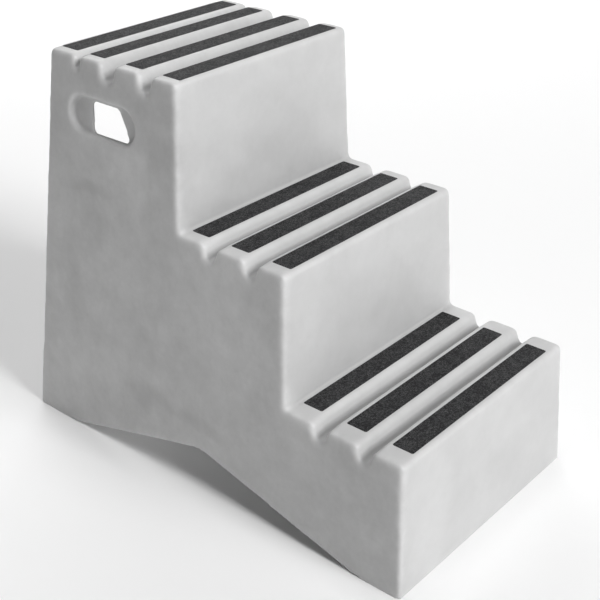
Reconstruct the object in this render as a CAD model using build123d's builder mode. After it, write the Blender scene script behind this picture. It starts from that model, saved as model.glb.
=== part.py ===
from build123d import *
from collections import namedtuple
from math import cos, radians, sin, tan
import os

# Three-step stand, moulded in one piece, with grit strips stuck along the ribs of its treads.
# Millimetres. X runs across the stand, the climber faces +Y, Z is up.
# The origin is on the floor, in the middle of the base.

# moulded wall and its slopes, in degrees from upright
base_width = 504          # across both side walls at the floor
wall = 5
side_draft = 3.0
back_draft = 6.64
lower_riser_draft = 3.56
middle_riser_draft = 2.94
top_riser_draft = 1.26
trim_allowance = 40       # closed foot of the moulding that is cut away at the floor

# steps, from the floor up
lower_rise = 241
middle_rise = 233.5
top_rise = 249.5
lower_run = 245
middle_run = 232
top_run = 298

# roundings of the outer skin
nosing_radius = 8
side_edge_radius = 6
riser_foot_radius = 4     # hollow corner between a riser and the tread below it

# grooves across the treads: width at tread level before rounding, lean of each wall in degrees
Groove = namedtuple("Groove", "width depth lean shoulder_radius")
common_groove = Groove(width=29, depth=27, lean=12, shoulder_radius=10)
deep_groove = Groove(width=29, depth=31, lean=12, shoulder_radius=10)
wide_groove = Groove(width=33, depth=33, lean=12, shoulder_radius=10)
narrow_groove = Groove(width=12, depth=25, lean=6, shoulder_radius=8)
top_third_rib = 37        # flat width of the top tread's third rib
top_rear_rib = 46

# grit strips
strip_thickness = 1
strip_width = 39
narrow_strip_width = 36
strip_length = 400
top_strip_length = 389
strip_corner_radius = 3

# hand holds: a recess in each side wall, with an opening through the front part of its floor
hand_hold_length = 156
hand_hold_height = 62
hand_hold_drop = 98       # from the top tread down to its middle
hand_hold_setback = 124   # from the rear edge of the top tread to its middle
hand_hold_depth = 11      # of the recess, from the outer skin
lip_radius = 7
grip_height = 54          # of the opening, up from the lower side of the recess
grip_top_length = 64
grip_lower_length = 90
grip_rear_reach = 31      # from the middle of the recess back to the opening
grip_corner_radius = 7

# arch under each side wall
front_foot_length = 90
rear_foot_length = 108
arch_height = 86
arch_apex_offset = 0      # of the apex from the middle of the base, towards the back
arch_apex_radius = 60
arch_blend_radius = 80

# opening in the back
back_opening_width = 300
back_opening_drop = 84    # from the top tread down to the opening
back_opening_radius = 40

# places worked out from the sizes above
lower_level = lower_rise
middle_level = lower_level + middle_rise
top_level = middle_level + top_rise
front_lean = lower_rise * tan(radians(lower_riser_draft))
back_lean = top_level * tan(radians(back_draft))
base_depth = front_lean + lower_run + middle_run + top_run + back_lean
front_foot = -base_depth / 2
rear_foot = base_depth / 2
lower_nosing = front_foot + front_lean
middle_nosing = lower_nosing + lower_run
top_nosing = middle_nosing + middle_run
top_rear_edge = top_nosing + top_run
middle_riser_foot = middle_nosing - middle_rise * tan(radians(middle_riser_draft))
top_riser_foot = top_nosing - top_rise * tan(radians(top_riser_draft))
hand_hold_place = top_rear_edge - hand_hold_setback
hand_hold_level = top_level - hand_hold_drop
back_opening_height = top_level - back_opening_drop


def rounding_reach(radius, draft):
    """Length of a level tread that a rounding takes where it meets a wall with this draft."""
    return radius * tan(radians(90 - draft) / 2)


def opening(groove):
    """Width of a groove between the flat tops of the ribs beside it."""
    return groove.width + 2 * rounding_reach(groove.shoulder_radius, groove.lean)


def groove_floor_radius(groove):
    """Radius of the full round floor that touches both groove walls."""
    lean = radians(groove.lean)
    return (groove.width / 2 - groove.depth * tan(lean)) / (1 / cos(lean) - tan(lean))


def rib_flats(flat_start, flat_end, grooves, rear_ribs=()):
    """Flat rib tops from front to back; the ribs without a width of their own share the tread evenly."""
    free_ribs = len(grooves) + 1 - len(rear_ribs)
    rib_total = flat_end - flat_start - sum(opening(groove) for groove in grooves)
    widths = [(rib_total - sum(rear_ribs)) / free_ribs] * free_ribs + list(rear_ribs)
    flats = []
    place = flat_start
    for width, groove in zip(widths, list(grooves) + [None]):
        flats += [(place, place + width)]
        place += width + (opening(groove) if groove else 0)
    return flats


lower_grooves = [common_groove, common_groove]
lower_flats = rib_flats(
    lower_nosing + rounding_reach(nosing_radius, lower_riser_draft),
    middle_riser_foot - rounding_reach(riser_foot_radius, middle_riser_draft),
    lower_grooves,
)
middle_grooves = [common_groove, common_groove]
middle_flats = rib_flats(
    middle_nosing + rounding_reach(nosing_radius, middle_riser_draft),
    top_riser_foot - rounding_reach(riser_foot_radius, top_riser_draft),
    middle_grooves,
)
top_grooves = [deep_groove, wide_groove, narrow_groove]
top_flats = rib_flats(
    top_nosing + rounding_reach(nosing_radius, top_riser_draft),
    top_rear_edge - rounding_reach(nosing_radius, back_draft),
    top_grooves,
    rear_ribs=(top_third_rib, top_rear_rib),
)


def tread_corners(nosing, level, flats, grooves):
    """Corners of one tread before rounding, from its nosing back, as y, z and radius."""
    corners = [(nosing, level, nosing_radius)]
    for (front_rib, rear_rib), groove in zip(zip(flats, flats[1:]), grooves):
        centre = (front_rib[1] + rear_rib[0]) / 2
        meeting_depth = groove.width / 2 / tan(radians(groove.lean))
        corners += [
            (centre - groove.width / 2, level, groove.shoulder_radius),
            (centre, level - meeting_depth, groove_floor_radius(groove)),
            (centre + groove.width / 2, level, groove.shoulder_radius),
        ]
    return corners


# Side outline of the closed moulding, from its front foot over the steps to its rear foot
side_outline = [(front_foot - trim_allowance * tan(radians(lower_riser_draft)), -trim_allowance, 0)]
side_outline += tread_corners(lower_nosing, lower_level, lower_flats, lower_grooves)
side_outline += [(middle_riser_foot, lower_level, riser_foot_radius)]
side_outline += tread_corners(middle_nosing, middle_level, middle_flats, middle_grooves)
side_outline += [(top_riser_foot, middle_level, riser_foot_radius)]
side_outline += tread_corners(top_nosing, top_level, top_flats, top_grooves)
side_outline += [(top_rear_edge, top_level, nosing_radius)]
side_outline += [(rear_foot + trim_allowance * tan(radians(back_draft)), -trim_allowance, 0)]


def side_plane(side, inset):
    """Plane of the right (1) or left (-1) side wall, moved in by the inset, with its Z pointing out."""
    outward = Vector(side * cos(radians(side_draft)), 0, sin(radians(side_draft)))
    foot = Vector(side * base_width / 2, 0, 0)
    return Plane(origin=foot - outward * inset, x_dir=(0, 1, 0), z_dir=outward)


def moulded_form(inset, edge_radius):
    """Closed solid of the stand with every face moved in by the inset, and its side edges rounded."""
    with BuildPart() as form:
        with BuildSketch(Plane.YZ) as outline:
            with BuildLine():
                Polyline([(y, z) for y, z, radius in side_outline], close=True)
            make_face()
            for y, z, radius in side_outline:
                if radius:
                    fillet(outline.vertices().sort_by_distance((y, z, 0))[0], radius)
            if inset:
                offset(amount=-inset, kind=Kind.INTERSECTION)
        extrude(amount=base_width, both=True)
        for side in (1, -1):
            split(bisect_by=side_plane(side, inset), keep=Keep.BOTTOM)
        if edge_radius:
            for outermost in (0, -1):
                side_face = form.faces().sort_by(Axis.X)[outermost]
                fillet(side_face.edges().sort_by(Axis.Z)[1:], edge_radius)
    return form.part


def hand_hold_plane(side, inset):
    """Plane parallel to a side wall, centred on its hand hold."""
    skin = side_plane(side, inset)
    rise = hand_hold_level / cos(radians(side_draft))
    upward = skin.y_dir if skin.y_dir.Z > 0 else -skin.y_dir
    return Plane(origin=skin.origin + upward * rise + Vector(0, hand_hold_place, 0), x_dir=skin.x_dir, z_dir=skin.z_dir)


outer_form = moulded_form(0, side_edge_radius)

# Hollow of the shell, less the walls and floors of the hand hold recesses
with BuildPart() as cavity:
    add(moulded_form(wall, 0))
    for side in (1, -1):
        with BuildSketch(hand_hold_plane(side, hand_hold_depth + wall)):
            SlotOverall(hand_hold_length + 2 * wall, hand_hold_height + 2 * wall)
        extrude(amount=hand_hold_depth + 2 * wall, mode=Mode.SUBTRACT)

with BuildPart() as stand_body:
    add(outer_form)
    add(cavity.part, mode=Mode.SUBTRACT)

    # Lower edge: level under the front, the back and the four corners, arched along each side
    with BuildSketch(Plane.YZ) as lower_edge:
        front_spring = front_foot + front_foot_length
        rear_spring = rear_foot - rear_foot_length
        with BuildLine():
            Polyline(
                (-base_depth, 0),
                (front_spring, 0),
                (arch_apex_offset, arch_height),
                (rear_spring, 0),
                (base_depth, 0),
                (base_depth, -2 * trim_allowance),
                (-base_depth, -2 * trim_allowance),
                close=True,
            )
        make_face()
        fillet(lower_edge.vertices().sort_by(Axis.Y)[-1], arch_apex_radius)
        for spring in (front_spring, rear_spring):
            fillet(lower_edge.vertices().sort_by_distance((spring, 0, 0))[0], arch_blend_radius)
    extrude(amount=base_width, both=True, mode=Mode.SUBTRACT)

    # Hand hold recesses, and the openings through their floors
    for side in (1, -1):
        with BuildSketch(hand_hold_plane(side, hand_hold_depth)):
            SlotOverall(hand_hold_length, hand_hold_height)
        extrude(amount=2 * hand_hold_depth, mode=Mode.SUBTRACT)
        grip_foot = -side * hand_hold_height / 2
        grip_top = grip_foot + side * grip_height
        with BuildSketch(hand_hold_plane(side, hand_hold_depth + 2 * wall)) as grip:
            with BuildLine():
                Polyline(
                    (grip_rear_reach, grip_foot),
                    (grip_rear_reach, grip_top),
                    (grip_rear_reach - grip_top_length, grip_top),
                    (grip_rear_reach - grip_lower_length, grip_foot),
                    close=True,
                )
            make_face()
            fillet(grip.vertices(), grip_corner_radius)
        extrude(amount=4 * wall, mode=Mode.SUBTRACT)

    # Opening in the back, from the floor up, which leaves a flange down each side
    with BuildSketch(Plane.XZ.offset(-hand_hold_place)) as back_opening:
        with Locations((0, back_opening_height / 2 - trim_allowance)):
            Rectangle(back_opening_width, back_opening_height + 2 * trim_allowance)
        fillet(back_opening.vertices().group_by(Axis.Y)[-1], back_opening_radius)
    extrude(amount=-base_depth, mode=Mode.SUBTRACT)

    # Soft lip around each hand hold
    for outermost in (0, -1):
        pierced = stand_body.faces().filter_by(lambda face: len(face.inner_wires()) > 0)
        outer_skin = pierced.sort_by(Axis.X)[outermost]
        fillet(outer_skin.inner_wires()[0].edges(), lip_radius)

stand_body.part.label = "stand_body"


def grip_strip(name, flat, level, length, width):
    """One grit strip, stuck along the middle of a rib's flat top."""
    with BuildPart() as strip:
        with BuildSketch(Plane((0, (flat[0] + flat[1]) / 2, level))):
            RectangleRounded(length, width, strip_corner_radius)
        extrude(amount=strip_thickness)
    strip.part.label = name
    return strip.part


strips = []
for number, flat in enumerate(lower_flats, start=1):
    strips += [grip_strip(f"lower_grip_strip_{number}", flat, lower_level, strip_length, strip_width)]
for number, flat in enumerate(middle_flats, start=1):
    strips += [grip_strip(f"middle_grip_strip_{number}", flat, middle_level, strip_length, strip_width)]
for number, flat in enumerate(top_flats, start=1):
    width = narrow_strip_width if number == 3 else strip_width
    strips += [grip_strip(f"top_grip_strip_{number}", flat, top_level, top_strip_length, width)]

os.makedirs("parts", exist_ok=True)
for piece in [stand_body.part] + strips:
    export_step(piece, f"parts/{piece.label}.step")
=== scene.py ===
import math

import bmesh
import bpy
import numpy as np
from mathutils import Matrix, Vector


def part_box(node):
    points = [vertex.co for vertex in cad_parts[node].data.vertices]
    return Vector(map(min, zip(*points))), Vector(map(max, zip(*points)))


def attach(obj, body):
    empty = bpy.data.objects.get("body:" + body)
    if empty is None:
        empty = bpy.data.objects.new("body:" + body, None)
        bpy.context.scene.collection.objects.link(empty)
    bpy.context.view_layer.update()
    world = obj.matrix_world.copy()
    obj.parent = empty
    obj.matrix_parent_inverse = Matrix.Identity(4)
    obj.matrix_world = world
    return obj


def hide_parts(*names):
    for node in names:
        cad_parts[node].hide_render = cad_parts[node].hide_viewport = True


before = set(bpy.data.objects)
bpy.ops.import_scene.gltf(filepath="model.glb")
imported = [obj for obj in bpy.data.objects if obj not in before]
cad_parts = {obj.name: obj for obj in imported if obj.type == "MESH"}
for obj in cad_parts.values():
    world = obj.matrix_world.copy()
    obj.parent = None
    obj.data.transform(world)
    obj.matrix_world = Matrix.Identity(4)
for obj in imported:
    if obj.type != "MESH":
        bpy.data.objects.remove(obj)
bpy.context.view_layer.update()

scene = bpy.context.scene
stripNames = sorted(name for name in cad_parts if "grip_strip" in name)
print("solids loaded:", len(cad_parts), "of them strips:", len(stripNames))


# one output of a material node; arithmetic on it adds Math nodes
class Signal:
    def __init__(self, tree, socket):
        self.tree = tree
        self.socket = socket

    def reckon(self, operation, *values):
        return addNode(self.tree, "ShaderNodeMath", {"operation": operation}, dict(enumerate(values)))

    def __add__(self, other):
        return self.reckon("ADD", self, other)

    def __radd__(self, other):
        return self.reckon("ADD", other, self)

    def __sub__(self, other):
        return self.reckon("SUBTRACT", self, other)

    def __rsub__(self, other):
        return self.reckon("SUBTRACT", other, self)

    def __mul__(self, other):
        return self.reckon("MULTIPLY", self, other)

    def __rmul__(self, other):
        return self.reckon("MULTIPLY", other, self)

    def lowerOf(self, other):
        return self.reckon("MINIMUM", self, other)

    def higherOf(self, other):
        return self.reckon("MAXIMUM", self, other)

    def size(self):
        return self.reckon("ABSOLUTE", self)

    # 0 below start, 1 above end, eased in between
    def rampUp(self, start, end):
        sockets = {"Value": self, "From Min": start, "From Max": end}
        return addNode(self.tree, "ShaderNodeMapRange", {"interpolation_type": "SMOOTHSTEP"}, sockets)


# any node: its settings first, then its sockets by name or place, as values or as links
def addNode(tree, kind, settings=None, sockets=None, output=0):
    node = tree.nodes.new(kind)
    for key, value in (settings or {}).items():
        setattr(node, key, value)
    for key, value in (sockets or {}).items():
        if isinstance(value, Signal):
            tree.links.new(value.socket, node.inputs[key])
        else:
            node.inputs[key].default_value = value
    return None if output is None else Signal(tree, node.outputs[output])


def newMaterial(name):
    material = bpy.data.materials.new(name)
    material.use_nodes = True
    material.node_tree.nodes.clear()
    return material, material.node_tree


def cloud(tree, place, scale, detail=3.0, roughness=0.5):
    sockets = {"Vector": place, "Scale": scale, "Detail": detail, "Roughness": roughness}
    return addNode(tree, "ShaderNodeTexNoise", None, sockets)


def shifted(tree, place, offset, stretch=(1, 1, 1)):
    return addNode(tree, "ShaderNodeMapping", None, {"Vector": place, "Location": offset, "Scale": stretch})


def greyMix(tree, factor, dark, light):
    sockets = {0: factor, 6: (*dark, 1), 7: (*light, 1)}
    return addNode(tree, "ShaderNodeMix", {"data_type": "RGBA"}, sockets, 2)


def vectorMath(tree, operation, sockets, output=0):
    return addNode(tree, "ShaderNodeVectorMath", {"operation": operation}, sockets, output)


def bumpFrom(tree, height):
    return addNode(tree, "ShaderNodeBump", None, {"Strength": 1.0, "Distance": 1.0, "Height": height})


def finishMaterial(tree, sockets):
    shader = addNode(tree, "ShaderNodeBsdfPrincipled", None, sockets)
    addNode(tree, "ShaderNodeOutputMaterial", None, {"Surface": shader}, None)


# moulded polyethylene: satin grey, clouded, wavy and finely pebbled; pale on its edges, partly scuffs and
# partly painted highlight; darker in its hollows, partly dust and partly painted shade; with patches of
# painted shade and painted light
mouldingLook = {
    "darkGrey": (0.45, 0.45, 0.45),
    "lightGrey": (0.63, 0.63, 0.63),
    "driftScale": 14.0,    # bends the clouds
    "driftReach": (0.09, 0.09, 0.09),
    "cloudScale": 8.0,
    "cloudShare": 0.55,
    "patchScale": 30.0,
    "patchShare": 0.34,
    "fineScale": 110.0,
    "fineShare": 0.16,
    "waveScale": 9.0,
    "waveHeight": 0.0065,
    "rippleScale": 34.0,
    "rippleHeight": 0.0009,
    "pebbleScale": 900.0,
    "pebbleHeight": 0.00007,
    "drawScale": (7, 330, 330),    # fine lines along the grooves
    "drawHeight": 0.0002,
    "roughness": 0.47,
    # pale edges: partly scuffs, partly a painted highlight where the rounded edges catch the light
    "edgeScuffAndHighlight": 0.22,
    # darker hollows: partly dust, partly painted shade where grooves and recesses lie in shade
    "hollowDustAndShade": 0.42,
    "sideDraft": 3.0,               # degrees that a side wall leans
    "sideRange": (0.228, 0.246),    # where a side wall begins, measured out at the floor
    # the side walls' extra mottling is partly clouding, partly painted shade standing in for the light
    # caught and lost on their waves
    "sideMottleAndShade": 1.2,              # how much more the side walls are mottled
    # the side walls' hollows get less of this dust and painted shade
    "sideHollow": 0.8,              # how much less dark their hollows are
    "spotFade": (0.2, 1.4),         # shares of a spot's reach between which it fades
    # painted shade and painted light: patches lighter or darker where the light falls on the walls' bulges
    # and creases and on the risers
    "shadeAndLightSpots": [                      # place, reach, strength
        ((-0.22, 0.144, 0.544), (0.06, 0.061, 0.046), 0.45),  # lighter below the hand hold
        ((-0.22, 0.265, 0.493), (0.06, 0.057, 0.019), -0.4),  # darker beside it
        ((-0.24, 0.318, 0.284), (0.06, 0.039, 0.097), -0.35),  # dark column by the rear edge
        ((-0.23, -0.021, 0.399), (0.06, 0.118, 0.148), 0.22),  # lighter middle
        ((-0.24, 0.12, 0.138), (0.06, 0.055, 0.03), -0.5),  # darkest, above the arch
        ((-0.24, -0.011, 0.14), (0.06, 0.079, 0.02), -0.35),  # its trail
        ((0.06, -0.43, 0.09), (0.09, 0.06, 0.05), -0.2),  # lowest riser, right of the middle
        ((-0.17, -0.43, 0.1), (0.06, 0.06, 0.12), 0.25),  # lowest riser, left end
        ((0.07, -0.17, 0.33), (0.09, 0.06, 0.06), -0.2),  # middle riser
        ((0.02, 0.06, 0.56), (0.1, 0.06, 0.06), -0.2),  # top riser
    ],
}


# 1 at the centre, 0 beyond the reach
def softSpot(tree, place, centre, reach):
    away = vectorMath(tree, "SUBTRACT", {0: place, 1: centre})
    inReach = vectorMath(tree, "DIVIDE", {0: away, 1: reach})
    distance = vectorMath(tree, "LENGTH", {0: inReach}, "Value")
    return 1 - distance.rampUp(*mouldingLook["spotFade"])


def mouldedPlastic():
    look = mouldingLook
    material, tree = newMaterial("mouldedPlastic")
    place = addNode(tree, "ShaderNodeTexCoord", None, None, "Object")
    sockets = {"Vector": place, "Scale": look["driftScale"], "Detail": 3.0}
    drift = addNode(tree, "ShaderNodeTexNoise", None, sockets, "Color")
    centred = vectorMath(tree, "SUBTRACT", {0: drift, 1: (0.5, 0.5, 0.5)})
    warped = vectorMath(tree, "MULTIPLY_ADD", {0: centred, 1: look["driftReach"], 2: place})
    clouds = cloud(tree, warped, look["cloudScale"], 4, 0.55)
    patches = cloud(tree, shifted(tree, place, (3.1, 1.7, 0.4)), look["patchScale"], 3, 0.6)
    fine = cloud(tree, shifted(tree, place, (1.3, 4.4, 2.2)), look["fineScale"], 3, 0.6)
    across, height = [addNode(tree, "ShaderNodeSeparateXYZ", None, {0: place}, axis) for axis in "XZ"]
    lean = math.tan(math.radians(look["sideDraft"]))
    sideWall = (across.size() + height * lean).rampUp(*look["sideRange"])
    edge = addNode(tree, "ShaderNodeAttribute", {"attribute_name": "edgeShare"}, None, "Fac")
    convex = edge.higherOf(0)
    hollow = (0 - edge).higherOf(0) * (1 - sideWall * look["sideHollow"])
    # paler on the edges: partly scuffs, partly a painted highlight where the rounded edges catch the light
    scuffsAndHighlight = convex * (0.65 + patches * 0.7) * look["edgeScuffAndHighlight"]
    mottle = (clouds - 0.5) * look["cloudShare"] + (patches - 0.5) * look["patchShare"]
    mottle = mottle + (fine - 0.5) * look["fineShare"]
    # the side walls' stronger mottle is partly painted shade of their waves
    tone = 0.5 + mottle * (1 + sideWall * look["sideMottleAndShade"]) + scuffsAndHighlight
    # darker in the hollows: partly dust, partly painted shade where grooves and recesses lie in shade
    tone = tone - hollow * (0.7 + patches * 0.6) * look["hollowDustAndShade"]
    # paints the patches of shade and light listed above
    for centre, reach, strength in look["shadeAndLightSpots"]:
        tone = tone + softSpot(tree, warped, centre, reach) * strength
    colour = greyMix(tree, tone.higherOf(0).lowerOf(1), look["darkGrey"], look["lightGrey"])
    waves = cloud(tree, shifted(tree, place, (0.3, 5.2, 2.1)), look["waveScale"], 2, 0.4)
    ripples = cloud(tree, shifted(tree, place, (7.3, 0.2, 3.1)), look["rippleScale"], 2, 0.5)
    pebble = cloud(tree, place, look["pebbleScale"], 2, 0.5)
    draw = cloud(tree, shifted(tree, place, (0, 0, 0), look["drawScale"]), 1.0, 2, 0.5)
    relief = waves * look["waveHeight"] + ripples * look["rippleHeight"] + pebble * look["pebbleHeight"]
    relief = relief + draw * hollow * look["drawHeight"]
    roughness = look["roughness"] + (patches - 0.5) * 0.25 + (fine - 0.5) * 0.2
    roughness = roughness + hollow * 0.15 - convex * 0.06
    finishMaterial(tree, {"Base Color": colour, "Roughness": roughness, "Normal": bumpFrom(tree, relief)})
    return material


# grit strips: a resin film that carries mineral grains
gritLook = {
    "filmDark": (0.007, 0.007, 0.008),
    "filmLight": (0.042, 0.042, 0.043),
    "grainDark": (0.010, 0.010, 0.011),
    "grainLight": (0.24, 0.24, 0.245),
    "speckleScale": 1400.0,
    "clumpScale": 300.0,
    "wearScale": 45.0,
    "toneRange": (0.41, 0.61),
    "specularLevel": 0.3,
    "filmRoughness": 0.7,
    "grainRoughness": 0.5,
    "speckleHeight": 0.00015,
    "filmThickness": 0.00055,
    "edgeBevel": 0.00015,
    "cornerRadius": 0.003,
    "cornerSteps": 6,
    "firstSeed": 11,
    "spacing": 0.0012,
    "density": 2.2,        # grains tried for each square millimetre
    "grainRadius": 0.00044,
    "smallestGrain": 0.5,
}


def gritFinish(name, dark, light, roughness):
    look = gritLook
    material, tree = newMaterial(name)
    place = addNode(tree, "ShaderNodeTexCoord", None, None, "Object")
    speckle = cloud(tree, place, look["speckleScale"], 2, 0.7)
    clumps = cloud(tree, shifted(tree, place, (2.2, 0.7, 1.1)), look["clumpScale"], 2, 0.8)
    wear = cloud(tree, place, look["wearScale"], 4, 0.65)
    tone = (speckle * 0.2 + clumps * 0.6 + wear * 0.2).rampUp(*look["toneRange"])
    colour = greyMix(tree, tone, dark, light)
    bump = bumpFrom(tree, speckle * look["speckleHeight"])
    sockets = {"Base Color": colour, "Roughness": roughness + (speckle - 0.5) * 0.3, "Normal": bump}
    finishMaterial(tree, {**sockets, "Specular IOR Level": look["specularLevel"]})
    return material


# outline of a strip, counter-clockwise seen from above, pulled in by the inset
def stripOutline(low, high, inset):
    look = gritLook
    radius = look["cornerRadius"] - inset
    corners = [(high.x, high.y), (low.x, high.y), (low.x, low.y), (high.x, low.y)]
    points = []
    for turn, (x, y) in enumerate(corners):
        towardX = -1 if x == high.x else 1
        towardY = -1 if y == high.y else 1
        centre = (x + towardX * look["cornerRadius"], y + towardY * look["cornerRadius"])
        for step in range(look["cornerSteps"] + 1):
            angle = math.radians(90 * (turn + step / look["cornerSteps"]))
            points.append((centre[0] + radius * math.cos(angle), centre[1] + radius * math.sin(angle)))
    return points


def filmMesh(name, low, high):
    look = gritLook
    top = low.z + look["filmThickness"]
    levels = [(low.z, 0), (top - look["edgeBevel"], 0), (top, look["edgeBevel"])]
    shape = bmesh.new()
    rings = [[shape.verts.new((x, y, z)) for x, y in stripOutline(low, high, inset)] for z, inset in levels]
    count = len(rings[0])
    shape.faces.new(list(reversed(rings[0])))
    shape.faces.new(rings[-1])
    for lower, upper in zip(rings, rings[1:]):
        for k in range(count):
            shape.faces.new((lower[k], lower[(k + 1) % count], upper[(k + 1) % count], upper[k]))
    mesh = bpy.data.meshes.new(name)
    shape.to_mesh(mesh)
    shape.free()
    return mesh


def randomVector(tree, low, high, seed):
    sockets = {0: (low, low, low), 1: (high, high, high), "Seed": seed}
    return addNode(tree, "FunctionNodeRandomValue", {"data_type": "FLOAT_VECTOR"}, sockets)


# node tree that scatters grains over the upward faces of a film
def grainTree(filmFinish, grainFinish):
    tree = bpy.data.node_groups.new("scatteredGrains", "GeometryNodeTree")
    face = tree.interface
    face.new_socket("Geometry", in_out="INPUT", socket_type="NodeSocketGeometry")
    kinds = {"spacing": "Float", "density": "Float", "grainRadius": "Float", "seed": "Int"}
    for name, kind in kinds.items():
        face.new_socket(name, in_out="INPUT", socket_type="NodeSocket" + kind)
    face.new_socket("Geometry", in_out="OUTPUT", socket_type="NodeSocketGeometry")
    given = tree.nodes.new("NodeGroupInput")
    film = Signal(tree, given.outputs["Geometry"])
    spacing, density, radius, seed = [Signal(tree, given.outputs[name]) for name in kinds]
    normal = addNode(tree, "GeometryNodeInputNormal")
    upward = addNode(tree, "ShaderNodeSeparateXYZ", None, {0: normal}, "Z")
    settings = {"data_type": "FLOAT", "operation": "GREATER_THAN"}
    facingUp = addNode(tree, "FunctionNodeCompare", settings, {0: upward, 1: 0.9})
    sockets = {"Geometry": film, "Selection": facingUp}
    top = addNode(tree, "GeometryNodeSeparateGeometry", {"domain": "FACE"}, sockets)
    points = addNode(
        tree,
        "GeometryNodeDistributePointsOnFaces",
        {"distribute_method": "POISSON"},
        {"Mesh": top, "Distance Min": spacing, "Density Max": density * 1e6, "Seed": seed},
    )
    grain = addNode(tree, "GeometryNodeMeshUVSphere", None, {"Segments": 4, "Rings": 2, "Radius": 1.0})
    turn = randomVector(tree, 0, math.tau, seed)
    stretch = randomVector(tree, gritLook["smallestGrain"], 1, seed)
    size = vectorMath(tree, "SCALE", {0: stretch, "Scale": radius})
    grains = addNode(
        tree,
        "GeometryNodeInstanceOnPoints",
        None,
        {"Points": points, "Instance": grain, "Rotation": turn, "Scale": size},
    )
    real = addNode(tree, "GeometryNodeRealizeInstances", None, {0: grains})
    darkGrains = addNode(tree, "GeometryNodeSetMaterial", None, {"Geometry": real, "Material": grainFinish})
    darkFilm = addNode(tree, "GeometryNodeSetMaterial", None, {"Geometry": film, "Material": filmFinish})
    joined = tree.nodes.new("GeometryNodeJoinGeometry")
    for part in (darkFilm, darkGrains):
        tree.links.new(part.socket, joined.inputs[0])
    result = tree.nodes.new("NodeGroupOutput")
    tree.links.new(joined.outputs[0], result.inputs["Geometry"])
    return tree


def gritStrip(name, number, tree, filmFinish):
    low, high = [Vector(corner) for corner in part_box(name)]
    carrier = bpy.data.objects.new("film_" + name, filmMesh(name, low, high))
    carrier.data.materials.append(filmFinish)
    scene.collection.objects.link(carrier)
    modifier = carrier.modifiers.new("grains", "NODES")
    modifier.node_group = tree
    values = {key: gritLook[key] for key in ("spacing", "density", "grainRadius")}
    values["seed"] = gritLook["firstSeed"] + number
    for item in tree.interface.items_tree:
        if item.in_out == "INPUT" and item.name in values:
            modifier[item.identifier] = values[item.name]
    ready = carrier.evaluated_get(bpy.context.evaluated_depsgraph_get())
    mesh = bpy.data.meshes.new_from_object(ready)
    bpy.data.objects.remove(carrier)
    for place in reversed(range(len(mesh.materials))):
        if mesh.materials[place] is None:
            mesh.materials.pop(index=place)    # the bare sphere's empty slot
    mesh.calc_loop_triangles()
    print("grit on", name, len(mesh.loop_triangles), "triangles", [finish.name for finish in mesh.materials])
    piece = bpy.data.objects.new("grit_" + name, mesh)
    scene.collection.objects.link(piece)
    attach(piece, "root")
    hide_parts(name)
    return piece


# the moulded shell, its edges softened and its walls faintly wavy as the mould leaves them
bodyShape = {
    "voxel": 0.0024,
    "halfWidth": 0.252,                # half the width at the floor
    "sideDraft": 3.0,                  # degrees that a side wall leans
    "rounds": 24,                      # smoothing passes along the side edges
    "restRounds": 3,                   # everywhere else
    "edgeBand": 0.030,                 # how far in from a side wall the edges are softened
    "edgeBandFade": 0.006,
    "archFade": (0.12, 0.02),          # height above which they are softened, and how soon
    "groundFade": (0.001, 0.004),      # the foot's edge stays on the floor
    "holdBox": (0.13, 0.32, 0.58, 0.672),    # the hand hold stays crisp: y and z ranges
    "waviness": 0.0006,
    "waveLength": 0.22,
    "octaves": ((1.0, 0.7), (0.5, 0.3)),     # lengths and shares of the waves
    "waveStarts": ((0, 3.7), (1, 11.2)),     # axis and phase
    "edgeRounds": 30,                  # how wide the edges are that the finish treats
    "edgeHeight": 0.0013,
    "triangles": 185000,
}


# 0 up to the start, 1 a fade higher
def risen(heights, start, fade):
    return np.clip((heights - start) / fade, 0, 1)


# mean place of each point's neighbours
def neighbourMean(points, pairs, count):
    mean = np.empty_like(points)
    for axis in range(3):
        column = points[:, axis]
        total = np.bincount(pairs[:, 0], column[pairs[:, 1]], len(points))
        total += np.bincount(pairs[:, 1], column[pairs[:, 0]], len(points))
        mean[:, axis] = total / count
    return mean


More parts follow.
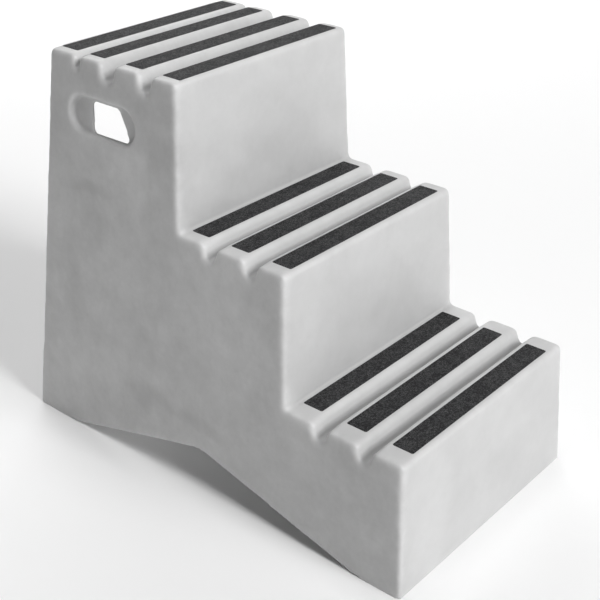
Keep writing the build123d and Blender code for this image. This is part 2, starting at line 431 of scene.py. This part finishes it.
def softBody(node):
    look = bodyShape
    box = [Vector(corner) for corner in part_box("stand_body")]
    shape = bmesh.new()
    shape.from_mesh(node.data)
    bmesh.ops.remove_doubles(shape, verts=shape.verts, dist=1e-6)
    merged = bpy.data.meshes.new("mergedShell")
    shape.to_mesh(merged)
    shape.free()
    carrier = bpy.data.objects.new("shellCarrier", merged)
    scene.collection.objects.link(carrier)
    remesh = carrier.modifiers.new("evenFacets", "REMESH")
    remesh.mode = "VOXEL"
    remesh.voxel_size = look["voxel"]
    dense = bpy.data.meshes.new_from_object(carrier.evaluated_get(bpy.context.evaluated_depsgraph_get()))
    carrier.modifiers.clear()
    print("dense shell:", len(dense.vertices), "points")

    points = np.empty(len(dense.vertices) * 3)
    dense.vertices.foreach_get("co", points)
    points = points.reshape(-1, 3)
    pairs = np.empty(len(dense.edges) * 2, dtype=np.int64)
    dense.edges.foreach_get("vertices", pairs)
    pairs = pairs.reshape(-1, 2)
    count = np.maximum(np.bincount(pairs.ravel(), minlength=len(points)), 1)
    halfWidth = look["halfWidth"] - points[:, 2] * math.tan(math.radians(look["sideDraft"]))
    reachedIn = np.abs(points[:, 0]) - halfWidth + look["edgeBand"]
    nearSide = np.clip(reachedIn / look["edgeBandFade"], 0, 1)
    aboveArch = risen(points[:, 2], *look["archFade"])
    front, rear, foot, head = look["holdBox"]
    inHold = (points[:, 1] > front) & (points[:, 1] < rear) & (points[:, 2] > foot) & (points[:, 2] < head)
    soft = nearSide * aboveArch * np.where(inHold, 0.0, 1.0)
    ground = risen(points[:, 2], *look["groundFade"])
    for turn in range(look["rounds"]):
        weight = soft if turn >= look["restRounds"] else ground
        points += (neighbourMean(points, pairs, count) - points) * (0.5 * weight)[:, None]

    # how far each point stands out of its surroundings: 1 on an edge, -1 in a groove
    dense.vertices.foreach_set("co", points.ravel())
    dense.update()
    normals = np.empty(len(points) * 3)
    dense.vertex_normals.foreach_get("vector", normals)
    mean = points.copy()
    for _ in range(look["edgeRounds"]):
        mean += (neighbourMean(mean, pairs, count) - mean) * 0.5
    standing = ((points - mean) * normals.reshape(-1, 3)).sum(axis=1) / look["edgeHeight"]
    dense.attributes.new("edgeShare", "FLOAT", "POINT").data.foreach_set("value", np.clip(standing, -1, 1))

    for axis, offset in look["waveStarts"]:
        wave = np.zeros(len(points))
        for octave, (length, share) in enumerate(look["octaves"]):
            phase = points / (look["waveLength"] * length) * 2 * math.pi
            wave += share * (
                np.sin(phase[:, 0] * 0.7 + phase[:, 2] * 0.9 + offset + octave)
                * np.sin(phase[:, 1] * 0.8 - phase[:, 2] * 0.5 + offset * 2 + octave)
            )
        points[:, axis] += wave * look["waviness"]
    for axis in range(3):
        points[:, axis] = np.clip(points[:, axis], box[0][axis], box[1][axis])
    dense.vertices.foreach_set("co", points.ravel())
    dense.update()
    carrier.data = dense
    dense.calc_loop_triangles()
    fewer = carrier.modifiers.new("fewerFacets", "DECIMATE")
    fewer.ratio = min(1.0, look["triangles"] / len(dense.loop_triangles))
    light = bpy.data.meshes.new_from_object(carrier.evaluated_get(bpy.context.evaluated_depsgraph_get()))
    bpy.data.objects.remove(carrier)
    light.shade_smooth()
    piece = bpy.data.objects.new("mouldedShell", light)
    scene.collection.objects.link(piece)
    light.calc_loop_triangles()
    print("shell:", len(light.loop_triangles), "triangles")
    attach(piece, "root")
    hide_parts("stand_body")
    return piece


# camera where the photograph was taken from
cameraLook = {
    "place": (-1.4484, -1.2311, 1.3131),
    "target": (0.0, -0.0198, 0.2858),
    "roll": 0.37,      # degrees
    "lens": 71.84,     # millimetres on a 36 mm sensor
}


def addCamera():
    look = cameraLook
    data = bpy.data.cameras.new("camera")
    data.lens = look["lens"]
    data.sensor_width = 36
    camera = bpy.data.objects.new("camera", data)
    scene.collection.objects.link(camera)
    place = Vector(look["place"])
    aim = (Vector(look["target"]) - place).to_track_quat("-Z", "Y").to_matrix()
    turned = aim @ Matrix.Rotation(math.radians(look["roll"]), 3, "Z")
    camera.matrix_world = Matrix.Translation(place) @ turned.to_4x4()
    scene.camera = camera


# plain studio: a pale floor, pale surroundings, and three soft lights,
# one low in front, one overhead and one for the floor behind
studioLook = {
    "floorSize": 60.0,
    "floorWhite": (0.91, 0.91, 0.91),
    "horizonGrey": (0.42, 0.42, 0.42),
    "overheadGrey": (0.03, 0.03, 0.03),
    "horizonRange": (0.04, 0.3),    # heights on the unit sphere between the two greys
    "lights": {
        "frontLight": {"place": (-0.35, -9.9, 6.6), "target": (0, 0, 0.3), "size": 4.0, "power": 1110},
        "topLight": {"place": (0, 0, 12), "target": (0, 0, 0.3), "size": 6.2, "power": 570},
        "farLight": {"place": (4.5, 6.0, 5.0), "target": (5.0, 6.6, 0), "size": 6.0, "power": 520},
    },
}


def addStudio():
    look = studioLook
    for name, light in look["lights"].items():
        data = bpy.data.lights.new(name, "AREA")
        data.energy = light["power"]
        data.size = light["size"]
        lamp = bpy.data.objects.new(name, data)
        scene.collection.objects.link(lamp)
        aim = (Vector(light["target"]) - Vector(light["place"])).to_track_quat("-Z", "Y")
        lamp.matrix_world = Matrix.Translation(light["place"]) @ aim.to_matrix().to_4x4()
    world = bpy.data.worlds.new("paleRoom")
    world.use_nodes = True
    sky = world.node_tree
    direction = addNode(sky, "ShaderNodeTexCoord", None, None, "Generated")
    upward = addNode(sky, "ShaderNodeSeparateXYZ", None, {0: direction}, "Z")
    grey = greyMix(sky, upward.rampUp(*look["horizonRange"]), look["horizonGrey"], look["overheadGrey"])
    sky.links.new(grey.socket, sky.nodes["Background"].inputs["Color"])
    scene.world = world
    mesh = bpy.data.meshes.new("floor")
    half = look["floorSize"] / 2
    corners = [(-half, -half, 0), (half, -half, 0), (half, half, 0), (-half, half, 0)]
    mesh.from_pydata(corners, [], [(0, 1, 2, 3)])
    floor = bpy.data.objects.new("floor", mesh)
    scene.collection.objects.link(floor)
    material, tree = newMaterial("paleFloor")
    finishMaterial(tree, {"Base Color": (*look["floorWhite"], 1), "Roughness": 0.9})
    mesh.materials.append(material)
    scene.view_settings.view_transform = "Standard"


addCamera()
addStudio()
print("camera and studio ready")

shell = softBody(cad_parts["stand_body"])
shell.data.materials.clear()
shell.data.materials.append(mouldedPlastic())
print("shell ready")

film = (gritLook["filmDark"], gritLook["filmLight"], gritLook["filmRoughness"])
grain = (gritLook["grainDark"], gritLook["grainLight"], gritLook["grainRoughness"])
filmFinish = gritFinish("gritFilm", *film)
grainFinish = gritFinish("gritGrain", *grain)
scatter = grainTree(filmFinish, grainFinish)
for number, name in enumerate(stripNames):
    gritStrip(name, number, scatter, filmFinish)
print("grit strips ready:", len(stripNames))
